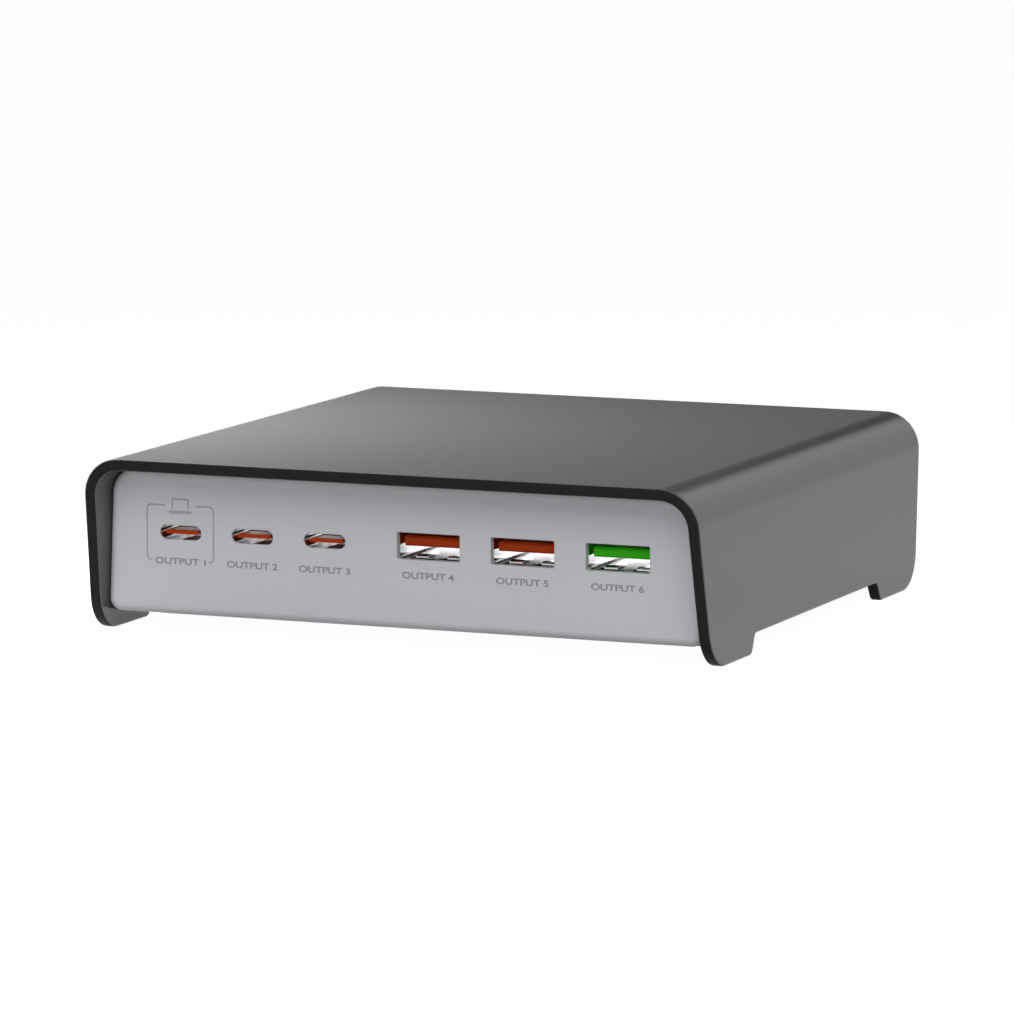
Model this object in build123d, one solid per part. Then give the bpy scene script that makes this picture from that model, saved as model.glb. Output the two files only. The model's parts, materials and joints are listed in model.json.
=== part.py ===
from build123d import *
import os
from math import cos, radians, tan

# Six-port desktop charger. A bent cover with flared sides and raked ends stands on four corner feet.
# It holds a closed body with three slim and three wide ports in front and a mains inlet behind.
# Millimetres. Origin on the desk under the middle, front towards -Y, +X to the right seen from the front.

# Cover
cover_width = 120.0          # along the top, between the points where the side walls would meet it
cover_depth = 122.0          # along the top, between the raked ends
cover_height = 33.0
cover_wall = 2.2
bend_radius = 7.4            # outside of the two bends
least_bend = 0.3             # inside radius where a section is drawn in past the bend
flare_angle = 2.2            # side walls spread towards the desk, degrees from upright
rake_angle = 10.0            # front and rear ends draw in towards the desk, degrees from upright
rim_radius = 0.4             # edge break all along the rim

# Feet, left standing between the raked ends and a notch in each side wall
foot_corner_radius = 8.0
notch_height = 3.6
notch_length = 66.0          # along the top of the notch
notch_flank_run = 2.0        # how far each flank of the notch leans over its height
notch_radius = 1.5

# Screw bosses that hang from the cover, each tied to the side wall by a rib
boss_radius = 3.0
boss_wall_gap = 1.8
boss_rib = 1.2
boss_rib_clearance = 2.0     # above the tray's sides

# Front and rear panels
panel_setback = 7.25         # behind the cover's upper edge
panel_thickness = 2.6
panel_gap = 0.2              # between a panel and the cover
panel_edge_radius = 1.6
panel_corner_radius = 2.4    # lower corners
flange_depth = 3.0
flange_wall = 1.6
flange_height = 8.0          # above the tray's floor

# Bottom tray
body_clearance = 3.7         # underside of the body above the desk
tray_floor = 2.0
tray_side_height = 7.0
tray_side = 1.6
tray_gap = 0.2               # between a panel's flange and the tray's sides

# Circuit boards
board_thickness = 1.6
board_clearance = 1.0        # around the screw bosses, the flanges and the tray's sides
board_front_lip = 2.0        # in front of the upright port board
board_rear_gap = 0.5
board_head_room = 1.5        # above the upright port board
standoff_height = 3.0
standoff_radius = 3.0
standoff_inset = 5.0         # from the board's sides
standoff_front = 12.0        # from the board's front edge
film_thickness = 0.4
film_margin = 1.0

# Screws
screw_radius = 1.3
screw_head_radius = 2.5
screw_head = 1.2
screw_length = 10.0
screw_gap = 0.05             # around a shank and a head
pilot_spare = 1.0            # a pilot hole runs on this far past the screw's end

# Row of ports
port_height = 19.0           # above the desk, to the middle of every port
port_row_shift = -0.63       # middle of the row, from the panel's middle
group_gap = 20.48            # from the last slim port to the first wide one
port_gap = 0.18              # between a port's shell and its seat in the panel
port_lead_in = 0.12          # bevel around each cut-out

# Slim ports: an oval steel shell around a thin tongue
type_c_count = 3
type_c_pitch = 14.45
type_c_width = 8.94
type_c_height = 3.26
type_c_recess = 0.6          # from the panel's face to the shell's mouth
type_c_depth = 11.6          # from the mouth to the shell's end wall
type_c_lip = 0.32            # how far the panel reaches in over the shell's edge
type_c_tongue_width = 6.69
type_c_tongue = 0.7
type_c_tongue_setback = 0.2  # from the mouth to the tongue's tip

# Wide ports: a flat steel shell with spring fingers around a thick tongue
type_a_count = 3
type_a_pitch = 18.4
type_a_width = 13.1
type_a_height = 5.72
type_a_corner = 0.7
type_a_recess = 1.7          # from the panel's face to the shell's mouth
type_a_depth = 17.3          # from the mouth to the shell's end wall
type_a_lip = 0.4             # how far the panel reaches in over the shell's edge
type_a_base = 2.4            # moulding between the shell's end wall and the port board
type_a_tongue_width = 11.1
type_a_tongue = 1.84
type_a_tongue_setback = 0.7  # from the mouth to the tongue's tip
type_a_tongue_drop = 1.0     # from the shell's inner top to the tongue
type_a_lead_in = 0.35
shell_sheet = 0.3
insert_gap = 0.05            # between a moulded insert and its shell

# Spring fingers, stamped out of the floor and the top of each wide shell
finger_width = 2.6
finger_length = 4.6
finger_bend = 0.45           # how far the finger reaches in
finger_tip_bend = 0.15       # how far its turned-out tip still reaches in
finger_tip_length = 1.2      # from the tip to the elbow
finger_slot = 0.4            # slot beside the finger
finger_offset = 3.1          # from the shell's middle
finger_window_inset = 0.6    # from the mouth to the window that the finger is stamped from
finger_window_length = 7.0

# Contact strips under the tongue of each wide port
contact_width = 1.0
contact_thickness = 0.3
contact_proud = 0.1
contact_inner = 1.0          # inner pair, from the middle
contact_outer = 3.5          # outer pair, from the middle
contact_tip_inset = 0.8      # from the tongue's tip
contact_root_gap = 0.3       # from the shell's end wall

# Mains inlet with a figure-of-eight socket
socket_depth = 10.5
socket_lobe_radius = 4.2
socket_lobe_spacing = 7.2
socket_waist = 7.2           # height between the two lobes
nose_wall = 1.6              # around the socket, where the inlet passes through the panel
nose_corner = 3.0
nose_gap = 0.15
inlet_shoulder = 1.0         # step that the inlet rests on behind the panel
inlet_length = 17.0
pin_radius = 1.2
pin_spacing = 8.6
pin_setback = 1.0            # from the socket's mouth to the pins' tips
pin_root = 4.0               # length held in the moulding
pin_tip_chamfer = 0.5

# Transformer and its gap filler
core_width = 26.0
core_depth = 20.0
core_leg = 4.0
core_middle_leg = 9.0
core_yoke = 4.0
coil_overhang = 4.0
coil_gap = 0.2
coil_corner = 2.5
pad_thickness = 2.0

# Other parts on the main board
part_gap = 4.0               # between neighbours
seat_gap = 0.05              # between a round part and the board
bulk_radius = 6.3
bulk_length = 32.0
bulk_gap = 2.0
bulk_edge = 0.8
crimp_depth = 0.6
crimp_width = 1.2
crimp_inset = 2.4            # from the sealed end
choke_radius = 10.0
choke_bore = 4.4
choke_height = 13.0
choke_edge = 1.6
filter_radius = 8.5
filter_bore = 3.6
filter_height = 11.0
filter_edge = 1.4
mains_cap_width = 15.0
mains_cap_depth = 8.5
mains_cap_height = 13.0
mains_cap_edge = 0.8
fuse_radius = 2.6
fuse_length = 20.0
fuse_cap = 5.0
fuse_glass_radius = 2.3
sink_width = 30.0
sink_depth = 2.5
sink_height = 13.0
bridge_width = 15.0
bridge_depth = 4.0
bridge_height = 11.0
bridge_chamfer = 1.5
inductor_count = 3
inductor_size = 9.0
inductor_height = 6.0
inductor_round = 1.2
polymer_radius = 3.15
polymer_height = 10.0
polymer_edge = 0.5
polymer_gap = 0.8            # between the two cans of a pair
front_row_gap = 1.5          # between a can, an inductor and the port board

# Levels and stations that follow from the sizes above
ceiling = cover_height - cover_wall
front_face = -cover_depth / 2 + panel_setback
rear_face = -front_face
front_inside = front_face + panel_thickness
rear_inside = -front_inside
flange_end = rear_inside - flange_depth
tray_top = body_clearance + tray_floor
tray_side_top = tray_top + tray_side_height
board_low = tray_top + standoff_height
board_top = board_low + board_thickness
type_c_mouth = front_face + type_c_recess
type_a_mouth = front_face + type_a_recess
type_c_end = type_c_mouth + type_c_depth
type_a_end = type_a_mouth + type_a_depth
port_board_front = type_a_end + shell_sheet + type_a_base
port_board_back = port_board_front + board_thickness
board_front = port_board_front - board_front_lip
board_rear = rear_inside - board_rear_gap
panel_inset = cover_wall + panel_gap
flange_inset = panel_inset + tray_side + tray_gap

nose_width = socket_lobe_spacing + 2 * (socket_lobe_radius + nose_wall)
nose_height = 2 * (socket_lobe_radius + nose_wall)
inlet_width = nose_width + 2 * inlet_shoulder
inlet_height = nose_height + 2 * inlet_shoulder
inlet_front = rear_face - inlet_length
inlet_middle = board_top + inlet_height / 2
middle_row = (port_board_back + inlet_front) / 2


def half_width(z, inset):
    """Half the width at height z, of the cover's outside drawn in by inset."""
    flare = radians(flare_angle)
    return cover_width / 2 + (cover_height - z) * tan(flare) - inset / cos(flare)


def corners(x, front, rear):
    """The four places at -x and x, at the stations front and rear."""
    return [(-x, front), (-x, rear), (x, front), (x, rear)]


boss_x = half_width(ceiling, cover_wall) - boss_wall_gap - boss_radius
boss_front = port_board_back + board_clearance + boss_radius
boss_places = corners(boss_x, boss_front, flange_end - board_clearance - boss_radius)
board_half = boss_x - boss_radius - board_clearance
port_board_half = half_width(board_top, flange_inset) - board_clearance
standoff_x = board_half - standoff_inset
standoff_rear = flange_end - board_clearance - standoff_radius
standoff_places = corners(standoff_x, board_front + standoff_front, standoff_rear)

port_row = (type_c_count - 1) * type_c_pitch + group_gap + (type_a_count - 1) * type_a_pitch
first_type_c = port_row_shift - port_row / 2
first_type_a = first_type_c + (type_c_count - 1) * type_c_pitch + group_gap
type_c_places = [first_type_c + i * type_c_pitch for i in range(type_c_count)]
type_a_places = [first_type_a + i * type_a_pitch for i in range(type_a_count)]


def across(sketch, front, back):
    """A sketch drawn as the front is seen, made solid from the station front to the station back."""
    plane = Plane(origin=(0, back, 0), x_dir=(1, 0, 0), z_dir=(0, -1, 0))
    return extrude(plane * sketch, back - front)


def upright(sketch, low, high):
    """A sketch drawn as the desk is seen from above, made solid between two heights."""
    return extrude(Plane.XY.offset(low) * sketch, high - low)


def sideways(sketch, x, width):
    """A sketch drawn as the side is seen, made solid over a width about the place x."""
    return extrude(Plane.YZ.offset(x) * sketch, width / 2, both=True)


def block(x, low, front, back, width, height):
    """A box about the place x with its foot at the height low, between two stations."""
    return across(Pos(x, low + height / 2) * Rectangle(width, height), front, back)


def shank(place, radius, low, high):
    """A round bar standing at a place on the plan."""
    return upright(Pos(*place) * Circle(radius), low, high)


def nearest(sketch, x, y):
    """The corner of a sketch that lies nearest to a point."""
    return sketch.vertices().sort_by_distance((x, y, 0))[0]


def straight_section(inset, low, high):
    """The cover's section drawn in by inset, between two heights below its bends."""
    lower = half_width(low, inset)
    upper = half_width(high, inset)
    return Polygon((-lower, low), (lower, low), (upper, high), (-upper, high), align=None)


def bent_section(inset, low):
    """The cover's section drawn in by inset, with its two bends, cut off at the height low."""
    outline = straight_section(inset, low, cover_height - inset)
    bends = outline.vertices().group_by(Axis.Y)[-1]
    return fillet(bends, max(bend_radius - inset, least_bend))


def side_profile():
    """The cover seen from the side: raked ends, rounded feet and the notch between them."""
    rake = tan(radians(rake_angle))
    over = cover_height + cover_wall
    upper_end = cover_depth / 2 + cover_wall * rake
    lower_end = cover_depth / 2 - cover_height * rake
    notch_top = notch_length / 2
    notch_foot = notch_top + notch_flank_run
    outline = Polygon(
        (-upper_end, over), (-lower_end, 0), (-notch_foot, 0), (-notch_top, notch_height),
        (notch_top, notch_height), (notch_foot, 0), (lower_end, 0), (upper_end, over), align=None,
    )
    outer = [nearest(outline, side * lower_end, 0) for side in (-1, 1)]
    outline = fillet(outer, foot_corner_radius)
    inner = [nearest(outline, side * notch_foot, 0) for side in (-1, 1)]
    inner += [nearest(outline, side * notch_top, notch_height) for side in (-1, 1)]
    return fillet(inner, notch_radius)


def rim_edges(cover):
    """Every edge of the cover's rim, without the lines along the bends and those across the wall."""
    edges = []
    for edge in cover.edges():
        direction = edge.tangent_at(0.5)
        along_bend = abs(direction.Y) > 0.999 and edge.center().Z > cover_height / 2
        across_wall = abs(direction.X) > 0.999 and edge.length < 2 * cover_wall
        if not along_bend and not across_wall:
            edges.append(edge)
    return edges


def cover_boss(x, y):
    """A screw boss under the ceiling, with the rib that ties it to the nearer side wall."""
    middle_of_wall = cover_wall / 2
    boss = shank((x, y), boss_radius, tray_top, cover_height - middle_of_wall)
    rib_low = tray_side_top + boss_rib_clearance
    side = straight_section(middle_of_wall, rib_low, ceiling) & bent_section(middle_of_wall, rib_low)
    outward = 1 if x > 0 else -1
    beyond = Pos(x + outward * cover_width / 2, 0) * Rectangle(cover_width, 2 * cover_height)
    return boss + across(side & beyond, y - boss_rib / 2, y + boss_rib / 2)


def make_cover():
    wall = bent_section(0, 0) - bent_section(cover_wall, -cover_wall)
    cover = across(wall, -cover_depth, cover_depth) & sideways(side_profile(), 0, 2 * cover_width)
    cover = fillet(rim_edges(cover), rim_radius)
    pilot_end = body_clearance + screw_head + screw_length + pilot_spare
    for x, y in boss_places:
        cover += cover_boss(x, y)
        cover -= shank((x, y), screw_radius + screw_gap, tray_top, pilot_end)
    return cover


def panel_plate():
    """A plate that fills the cover's section, rounded all round its face, with a flange behind it."""
    outline = bent_section(panel_inset, body_clearance)
    outline = fillet(outline.vertices().group_by(Axis.Y)[0], panel_corner_radius)
    plate = across(outline, front_face, front_inside)
    plate = fillet(plate.faces().sort_by(Axis.Y)[0].edges(), panel_edge_radius)
    flange_top = tray_top + flange_height
    flange = straight_section(flange_inset, tray_top, flange_top)
    flange -= straight_section(flange_inset + flange_wall, tray_top + flange_wall, flange_top)
    return plate + across(flange, front_inside, front_inside + flange_depth)


def type_c_outline(inset):
    """The oval of a slim port, drawn in by inset."""
    return SlotOverall(type_c_width - 2 * inset, type_c_height - 2 * inset)


def type_a_outline(inset):
    """The rounded rectangle of a wide port, drawn in by inset."""
    return RectangleRounded(type_a_width - 2 * inset, type_a_height - 2 * inset, type_a_corner - inset)


def cut_out(outline, lip, shell_mouth, x):
    """A hole through the front panel for one port: a bevelled lip that hides the edge of the shell,
    and behind it the wider seat that the shell stands in."""
    lip_back = shell_mouth - port_gap
    place = Pos(x, port_height)
    hole = across(place * outline(lip), front_face, lip_back)
    hole += across(place * outline(-port_gap), lip_back, front_inside)
    face = Plane(origin=(x, front_face, port_height), x_dir=(1, 0, 0), z_dir=(0, 1, 0))
    wide = face * outline(lip - port_lead_in)
    narrow = face.offset(port_lead_in) * outline(lip)
    return hole + loft([wide, narrow])


def make_front_panel():
    panel = panel_plate()
    for x in type_c_places:
        panel -= cut_out(type_c_outline, type_c_lip, type_c_mouth, x)
    for x in type_a_places:
        panel -= cut_out(type_a_outline, type_a_lip, type_a_mouth, x)
    return panel


def nose_outline(gap):
    """The inlet's nose, widened by a gap where the rear panel lets it through."""
    outline = RectangleRounded(nose_width + 2 * gap, nose_height + 2 * gap, nose_corner + gap)
    return Pos(0, inlet_middle) * outline


def make_rear_panel():
    panel = Rot(0, 0, 180) * panel_plate()
    return panel - across(nose_outline(nose_gap), rear_inside, rear_face)


def make_tray():
    channel = straight_section(panel_inset, body_clearance, tray_side_top)
    channel -= straight_section(panel_inset + tray_side, tray_top, tray_side_top)
    tray = across(channel, front_inside, rear_inside)
    for place in standoff_places:
        tray += shank(place, standoff_radius, tray_top, board_low)
        tray -= shank(place, screw_radius + screw_gap, tray_top - pilot_spare, board_low)
    for place in boss_places:
        tray -= shank(place, screw_radius + screw_gap, body_clearance, tray_top)
        tray -= shank(place, screw_head_radius + screw_gap, body_clearance, body_clearance + screw_head)
    return tray


def make_main_board():
    board = block(0, board_low, board_front, board_rear, 2 * board_half, board_thickness)
    for place in standoff_places:
        board -= shank(place, screw_radius + screw_gap, board_low, board_top)
    return board


def make_port_board():
    height = ceiling - board_head_room - board_top
    return block(0, board_top, port_board_front, port_board_back, 2 * port_board_half, height)


def make_film():
    half = standoff_x - standoff_radius - film_margin
    end = flange_end - film_margin
    return block(0, tray_top, -end, end, 2 * half, film_thickness)


def make_case_screws():
    seat = body_clearance + screw_head
    screws = []
    for place in boss_places:
        head = shank(place, screw_head_radius, body_clearance, seat)
        screws.append(head + shank(place, screw_radius, seat, seat + screw_length))
    return Compound(children=screws)


def make_board_screws():
    screws = []
    for place in standoff_places:
        head = shank(place, screw_head_radius, board_top, board_top + screw_head)
        screws.append(head + shank(place, screw_radius, tray_top, board_top))
    return Compound(children=screws)


def type_c_blade(gap):
    """The rounded section of a slim port's tongue, widened by a gap where the end wall lets it through."""
    return SlotOverall(type_c_tongue_width + 2 * gap, type_c_tongue + 2 * gap)


def make_type_c_shell(x):
    middle = Pos(x, port_height)
    ring = type_c_outline(0) - type_c_outline(shell_sheet)
    shell = across(middle * ring, type_c_mouth, port_board_front)
    end_wall = type_c_outline(0) - type_c_blade(insert_gap)
    return shell + across(middle * end_wall, type_c_end, type_c_end + shell_sheet)


def make_type_c_tongue(x):
    middle = Pos(x, port_height)
    base_front = type_c_end + shell_sheet
    base = across(middle * type_c_outline(shell_sheet + insert_gap), base_front, port_board_front)
    return base + across(middle * type_c_blade(0), type_c_mouth + type_c_tongue_setback, base_front)


def spring_finger(x, side):
    """One spring finger of a wide shell's floor or top, and the window that it is stamped from."""
    window_front = type_a_mouth + finger_window_inset
    root = window_front + finger_window_length
    held = root + finger_slot
    tip = root - finger_length
    elbow = tip + finger_tip_length
    outer = port_height + side * type_a_height / 2
    line = [(held, 0), (root, 0), (elbow, finger_bend), (tip, finger_tip_bend)]
    outside = [(y, outer - side * reach) for y, reach in line]
    inside = [(y, outer - side * (reach + shell_sheet)) for y, reach in reversed(line)]
    finger = sideways(Polygon(*outside, *inside, align=None), x, finger_width)
    width = finger_width + 2 * finger_slot
    window = block(x, outer - shell_sheet, window_front, root, width, 2 * shell_sheet)
    return finger, window


tongue_middle = port_height + (type_a_height - type_a_tongue) / 2 - shell_sheet - type_a_tongue_drop
tongue_low = tongue_middle - type_a_tongue / 2
tongue_tip = type_a_mouth + type_a_tongue_setback


def make_type_a_shell(x):
    middle = Pos(x, port_height)
    ring = type_a_outline(0) - type_a_outline(shell_sheet)
    shell = across(middle * ring, type_a_mouth, port_board_front)
    slot = Rectangle(type_a_tongue_width + 2 * insert_gap, type_a_tongue + 2 * insert_gap)
    end_wall = middle * type_a_outline(0) - Pos(x, tongue_middle) * slot
    shell += across(end_wall, type_a_end, type_a_end + shell_sheet)
    for offset in (-finger_offset, finger_offset):
        for side in (-1, 1):
            finger, window = spring_finger(x + offset, side)
            shell = shell - window + finger
    return shell


def contact_strips(x):
    """The four strips in the underside of a wide port's tongue."""
    low = tongue_low - contact_proud
    front = tongue_tip + contact_tip_inset
    back = type_a_end - contact_root_gap
    offsets = (-contact_outer, -contact_inner, contact_inner, contact_outer)
    return [block(x + o, low, front, back, contact_width, contact_thickness) for o in offsets]


def make_type_a_tongue(x):
    base_front = type_a_end + shell_sheet
    base = type_a_outline(shell_sheet + insert_gap)
    tongue = across(Pos(x, port_height) * base, base_front, port_board_front)
    blade = block(x, tongue_low, tongue_tip, base_front, type_a_tongue_width, type_a_tongue)
    tip_edges = blade.faces().sort_by(Axis.Y)[0].edges().filter_by(Axis.X)
    tongue += chamfer(tip_edges, type_a_lead_in)
    for strip in contact_strips(x):
        tongue -= strip
    return tongue


def make_type_a_contacts(x):
    return Compound(children=contact_strips(x))


def socket_outline():
    """The figure-of-eight socket of the mains inlet."""
    outline = Rectangle(socket_lobe_spacing, socket_waist)
    for side in (-1, 1):
        outline += Pos(side * socket_lobe_spacing / 2, 0) * Circle(socket_lobe_radius)
    return Pos(0, inlet_middle) * outline


socket_floor = rear_face - socket_depth
pin_places = [(side * pin_spacing / 2, inlet_middle) for side in (-1, 1)]


def make_inlet():
    body = block(0, board_top, inlet_front, rear_inside, inlet_width, inlet_height)
    body += across(nose_outline(0), rear_inside, rear_face)
    body -= across(socket_outline(), socket_floor, rear_face)
    for place in pin_places:
        body -= across(Pos(*place) * Circle(pin_radius + screw_gap), socket_floor - pin_root, rear_face)
    return body


def make_inlet_pins():
    pins = []
    for place in pin_places:
        pin = across(Pos(*place) * Circle(pin_radius), socket_floor - pin_root, rear_face - pin_setback)
        pins.append(chamfer(pin.faces().sort_by(Axis.Y)[-1].edges(), pin_tip_chamfer))
    return Compound(children=pins)


core_top = ceiling - pad_thickness
core_front = middle_row - core_depth / 2
core_back = middle_row + core_depth / 2
coil_window = (core_width - core_middle_leg) / 2 - core_leg
coil_low = board_top + core_yoke
coil_room = core_top - core_yoke - coil_low


def make_core():
    core = block(0, board_top, core_front, core_back, core_width, core_top - board_top)
    for side in (-1, 1):
        middle = side * (core_middle_leg + coil_window) / 2
        core -= block(middle, coil_low, core_front, core_back, coil_window, coil_room)
    return core


def make_coil():
    outer_width = core_middle_leg + 2 * (coil_window - coil_gap)
    outer = RectangleRounded(outer_width, core_depth + 2 * coil_overhang, coil_corner)
    inner = Rectangle(core_middle_leg + 2 * coil_gap, core_depth + 2 * coil_gap)
    return upright(Pos(0, middle_row) * (outer - inner), coil_low, coil_low + coil_room - coil_gap)


def make_gap_pad():
    return block(0, core_top, core_front, core_back, core_width, pad_thickness)


def make_bulk_capacitor(side):
    """A can that lies along the board, with the crimp near its sealed end."""
    x = -(core_width / 2 + part_gap + bulk_length / 2)
    y = middle_row + side * (bulk_radius + bulk_gap / 2)
    axis = Pos(y, board_top + seat_gap + bulk_radius)
    can = sideways(axis * Circle(bulk_radius), x, bulk_length)
    can = chamfer(can.edges().filter_by(GeomType.CIRCLE), bulk_edge)
    ring = Circle(bulk_radius + crimp_depth) - Circle(bulk_radius - crimp_depth)
    return can - sideways(axis * ring, x + bulk_length / 2 - crimp_inset, crimp_width)


def wound_ring(x, y, radius, bore, height, edge):
    """A wound ring lying flat on the board."""
    ring = upright(Pos(x, y) * (Circle(radius) - Circle(bore)), board_top, board_top + height)
    return chamfer(ring.edges().filter_by(GeomType.CIRCLE), edge)


def make_boost_choke():
    x = core_width / 2 + part_gap + choke_radius
    return wound_ring(x, middle_row, choke_radius, choke_bore, choke_height, choke_edge)


filter_x = inlet_width / 2 + part_gap + filter_radius
filter_y = flange_end - board_clearance - filter_radius
sink_back = filter_y - filter_radius - part_gap
sink_front = sink_back - sink_depth
mains_cap_x = -(inlet_width / 2 + part_gap + mains_cap_width / 2)
mains_cap_front = inlet_front + part_gap


def make_filter_choke():
    return wound_ring(filter_x, filter_y, filter_radius, filter_bore, filter_height, filter_edge)


def make_heat_sink():
    return block(filter_x, board_top, sink_front, sink_back, sink_width, sink_height)


def make_bridge():
    body = block(filter_x, board_top, sink_front - bridge_depth, sink_front, bridge_width, bridge_height)
    corner = body.edges().filter_by(Axis.Y).sort_by(Axis.Z)[-1]
    return chamfer(corner, bridge_chamfer)


def make_mains_capacitor():
    back = mains_cap_front + mains_cap_depth
    body = block(mains_cap_x, board_top, mains_cap_front, back, mains_cap_width, mains_cap_height)
    return chamfer(body.faces().sort_by(Axis.Z)[-1].edges(), mains_cap_edge)


def make_fuse():
    axis = Pos(mains_cap_front - part_gap - fuse_radius, board_top + seat_gap + fuse_radius)
    fuse = sideways(axis * Circle(fuse_glass_radius), mains_cap_x, fuse_length)
    for side in (-1, 1):
        cap_x = mains_cap_x + side * (fuse_length - fuse_cap) / 2
        fuse += sideways(axis * Circle(fuse_radius), cap_x, fuse_cap)
    return fuse


front_row = port_board_back + front_row_gap + inductor_size / 2
can_pitch = 2 * polymer_radius + polymer_gap
inductor_pitch = inductor_size + 2 * front_row_gap + can_pitch + 2 * polymer_radius


def make_inductors():
    first = -(inductor_count - 1) / 2 * inductor_pitch
    outline = RectangleRounded(inductor_size, inductor_size, inductor_round)
    inductors = []
    for i in range(inductor_count):
        place = Pos(first + i * inductor_pitch, front_row)
        inductors.append(upright(place * outline, board_top, board_top + inductor_height))
    return Compound(children=inductors)


def make_output_capacitors():
    first = -(inductor_count - 2) / 2 * inductor_pitch
    cans = []
    for i in range(inductor_count - 1):
        for side in (-1, 1):
            x = first + i * inductor_pitch + side * can_pitch / 2
            can = shank((x, front_row), polymer_radius, board_top, board_top + polymer_height)
            cans.append(chamfer(can.faces().sort_by(Axis.Z)[-1].edges(), polymer_edge))
    return Compound(children=cans)


nodes = {
    "cover": make_cover(),
    "front_panel": make_front_panel(),
    "rear_panel": make_rear_panel(),
    "bottom_tray": make_tray(),
    "case_screws": make_case_screws(),
    "main_board": make_main_board(),
    "board_screws": make_board_screws(),
    "port_board": make_port_board(),
    "insulating_film": make_film(),
    "mains_inlet": make_inlet(),
    "inlet_pins": make_inlet_pins(),
    "transformer_core": make_core(),
    "transformer_coil": make_coil(),
    "gap_pad": make_gap_pad(),
    "bulk_capacitor_1": make_bulk_capacitor(-1),
    "bulk_capacitor_2": make_bulk_capacitor(1),
    "boost_choke": make_boost_choke(),
    "filter_choke": make_filter_choke(),
    "heat_sink": make_heat_sink(),
    "bridge_rectifier": make_bridge(),
    "mains_capacitor": make_mains_capacitor(),
    "fuse": make_fuse(),
    "output_inductors": make_inductors(),
    "output_capacitors": make_output_capacitors(),
}
for number, place in enumerate(type_c_places, 1):
    nodes[f"type_c_shell_{number}"] = make_type_c_shell(place)
    nodes[f"type_c_tongue_{number}"] = make_type_c_tongue(place)
for number, place in enumerate(type_a_places, 1):
    nodes[f"type_a_shell_{number}"] = make_type_a_shell(place)
    nodes[f"type_a_tongue_{number}"] = make_type_a_tongue(place)
    nodes[f"type_a_contacts_{number}"] = make_type_a_contacts(place)

os.makedirs("parts", exist_ok=True)
for name, solid in nodes.items():
    export_step(solid, f"parts/{name}.step")
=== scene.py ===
import json
from math import cos, hypot, pi, radians, sin

import bmesh
import bpy
from mathutils import Matrix, Vector


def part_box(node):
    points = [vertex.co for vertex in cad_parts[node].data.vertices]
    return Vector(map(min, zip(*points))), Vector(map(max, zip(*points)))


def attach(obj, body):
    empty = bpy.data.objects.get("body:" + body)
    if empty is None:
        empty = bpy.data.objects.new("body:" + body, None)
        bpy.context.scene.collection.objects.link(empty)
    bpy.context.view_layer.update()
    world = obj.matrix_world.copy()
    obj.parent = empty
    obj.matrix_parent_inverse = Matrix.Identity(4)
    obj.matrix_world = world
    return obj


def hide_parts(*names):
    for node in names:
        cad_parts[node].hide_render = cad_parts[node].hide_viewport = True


# Six-port desktop charger: the finishes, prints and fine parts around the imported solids.
# Metres, in the frame of the solids: front towards -Y, desk at zero height.

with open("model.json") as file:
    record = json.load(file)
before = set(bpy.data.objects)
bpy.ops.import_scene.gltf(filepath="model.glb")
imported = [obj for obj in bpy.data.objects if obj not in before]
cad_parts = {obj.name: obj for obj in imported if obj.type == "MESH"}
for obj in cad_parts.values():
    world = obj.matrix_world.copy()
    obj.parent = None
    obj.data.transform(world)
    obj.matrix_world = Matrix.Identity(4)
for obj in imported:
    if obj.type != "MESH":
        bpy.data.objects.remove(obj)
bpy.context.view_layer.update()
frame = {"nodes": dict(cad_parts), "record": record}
cad_nodes = frame["nodes"]
scene = bpy.context.scene
MM = 0.001
BODY = "root"

# Camera, at the photograph's viewing angle
CAMERA_AZIMUTH = 22.477
CAMERA_ELEVATION = 7.851
CAMERA_DISTANCE = 1250.6 * MM
CAMERA_AIM = Vector((-1.10, -0.08, 19.18)) * MM
CAMERA_LENS = 235.73
SENSOR_WIDTH = 36.0

# Studio: strengths for the rays that only light, and for the rays that show the floor and the sky
FLOOR_SIZE = 12.0
FLOOR_WHITE = 0.2
FLOOR_GLOW = 0.97
FLOOR_BOUNCE = 0.14
SKY_HORIZON = 0.03
SKY_ZENITH = 0.02
SKY_RISE = (0.0, 0.6)
SEEN_HORIZON = 1.0
SEEN_ZENITH = 0.35
SEEN_RISE = (0.1, 0.7)
CORNER_HORIZON = 0.19
CORNER_ZENITH = 0.02
CORNER_RISE = (0.14, 0.24)
BOX_GLOW = 0.9
BOX_EDGE = (-0.14, 0.02)
BACK_EDGE = (0.2, 0.5)

# Lamps: place and aim in millimetres, width and height, spread in degrees, watts
RAKING_POWER = 0.42
KEY_POWER = 5.5
FRONT_POWER = 2.3
LAMPS = {
    "raking_light": ((-118, -16, 108), (-60, -21, 33), (120, 80), 120, RAKING_POWER),
    "key_light": ((150, -1400, 130), (0, -54, 19), (900, 240), 180, KEY_POWER),
    "front_light": ((210, -350, 370), (25, -54, 15), (480, 400), 180, FRONT_POWER),
}
UNREFLECTED_LAMP = "raking_light"    # stands so close that its reflection would draw a line on the cover

# Sheet metal: which faces of the cover are cut edges, and which of a port's shell look out
EDGE_FACING = 0.7            # how squarely a face looks out of the sheet's edge
EDGE_END = 48 * MM           # the raked ends lie further out than this along Y
EDGE_FOOT_HEIGHT = 9 * MM    # the lower edges lie below this height
EDGE_SIDE = 55 * MM          # and further out than this along X
SMOOTH_ANGLE = 32            # degrees between faces that shade as one
LEVEL_WEIGHT = 100           # large faces set the shading at their corners
WELD = 0.001 * MM

# Ports, from left to right
PORTS = [f"type_{kind}_shell_{number}" for kind in ("c", "a") for number in (1, 2, 3)]
TONGUE_THICKNESS = 0.7 * MM  # of the slim ports

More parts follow.
